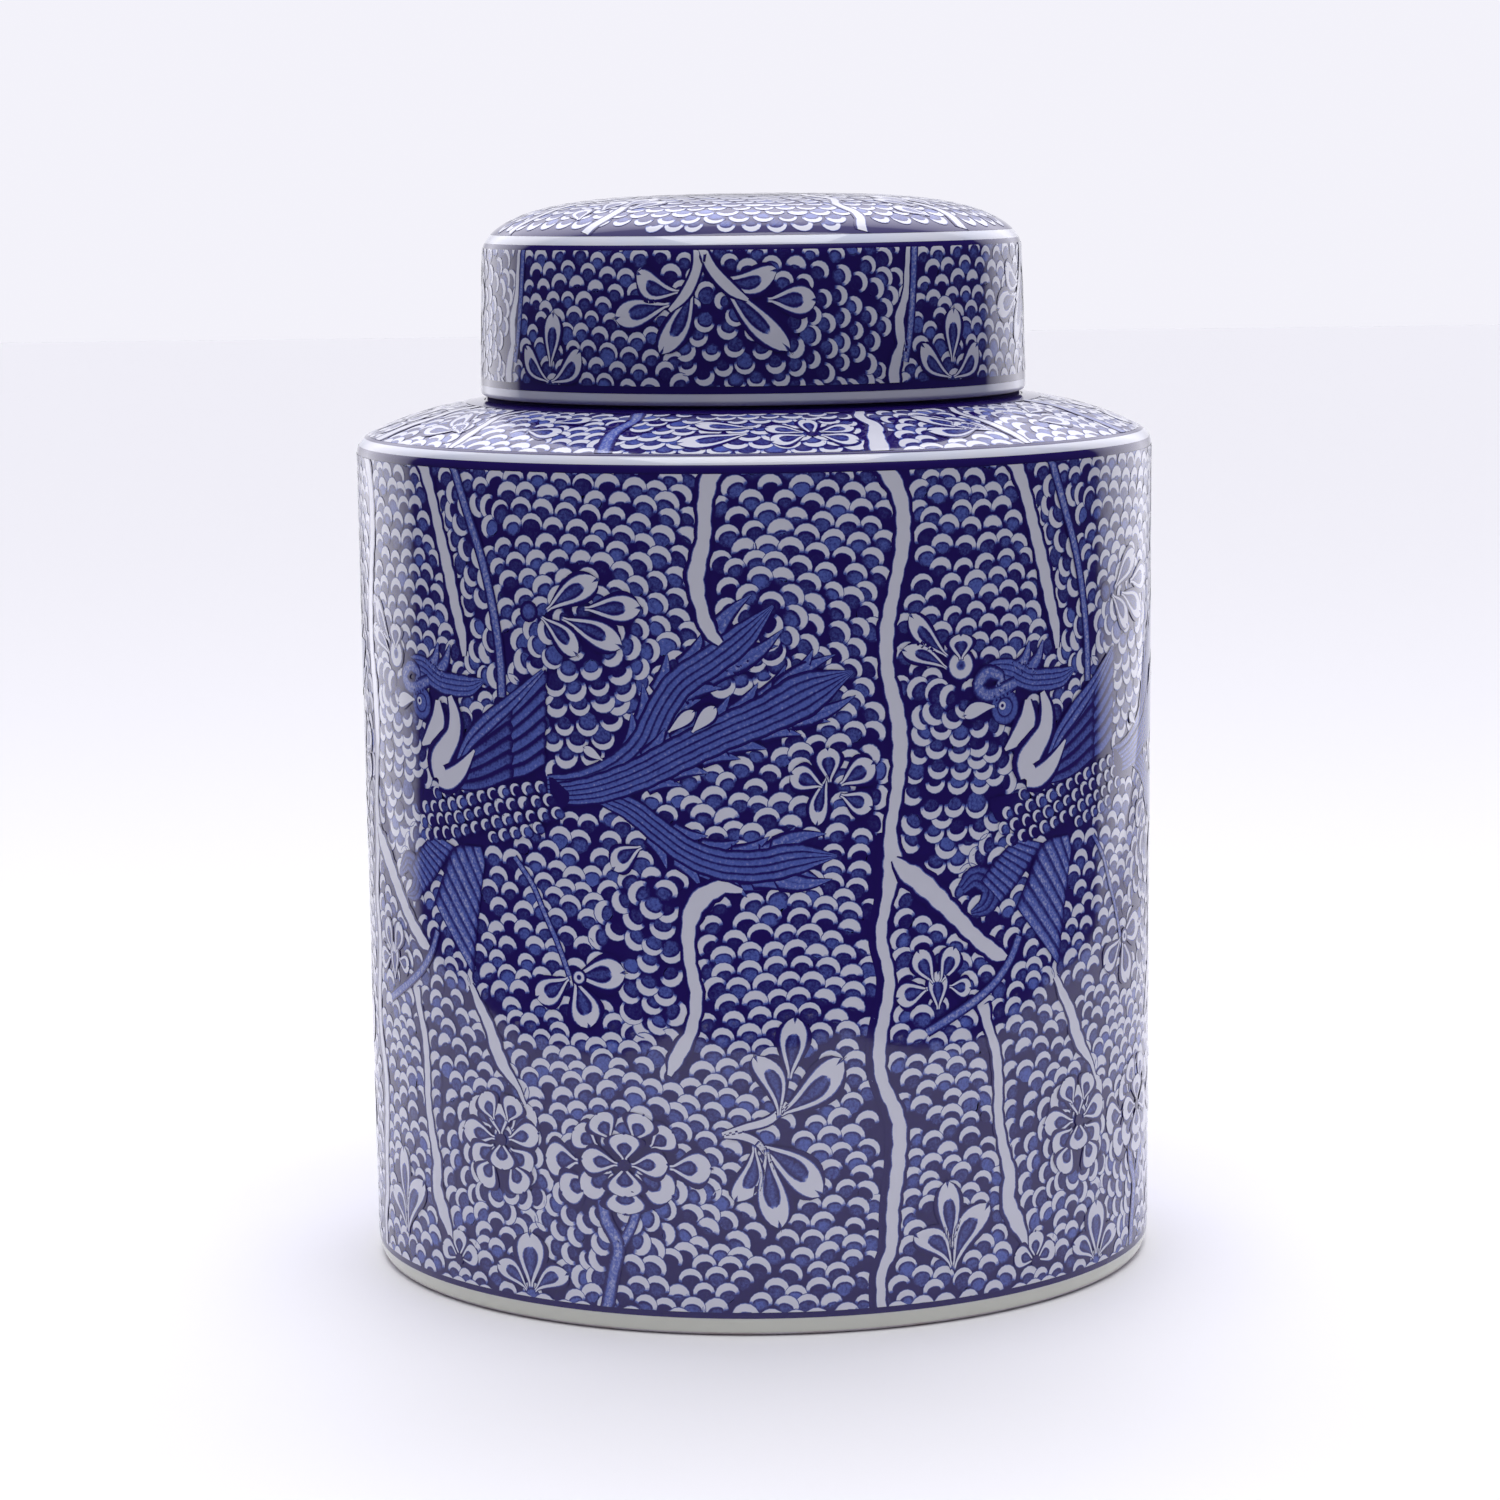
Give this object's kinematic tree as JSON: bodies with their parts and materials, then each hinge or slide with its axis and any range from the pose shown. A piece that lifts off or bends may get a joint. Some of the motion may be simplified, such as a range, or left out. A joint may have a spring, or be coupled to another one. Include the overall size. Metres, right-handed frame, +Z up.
{
  "type": "ginger jar",
  "caption": "Straight-sided round porcelain ginger jar with a low domed shoulder, a short neck and a lift-off cap lid, blue and white scale pattern.",
  "frame": {"origin": "centre of the circle that the foot ring stands on, on the jar's axis, in the plane of the surface it stands on", "axes": "+Z up along the jar's axis, through the middle of the lid; -Y is the front that faces the viewer; +X is the viewer's right"},
  "size_m": [0.2, 0.2, 0.2678],
  "materials": {
    "jar_glaze": "gloss",
    "lid_glaze": "gloss",
    "white_glaze": "gloss",
    "cobalt_dark": "gloss",
    "cobalt_wash": "gloss"
  },
  "bodies": {
    "jar": {"jar_body": "jar_glaze"},
    "lid": {"lid": "lid_glaze"}
  },
  "joints": [
    {"name": "lid_lift", "type": "slide", "parent": "jar", "child": "lid", "axis": [0, 0, 1], "range_m": [0, 0.15]}
  ]
}
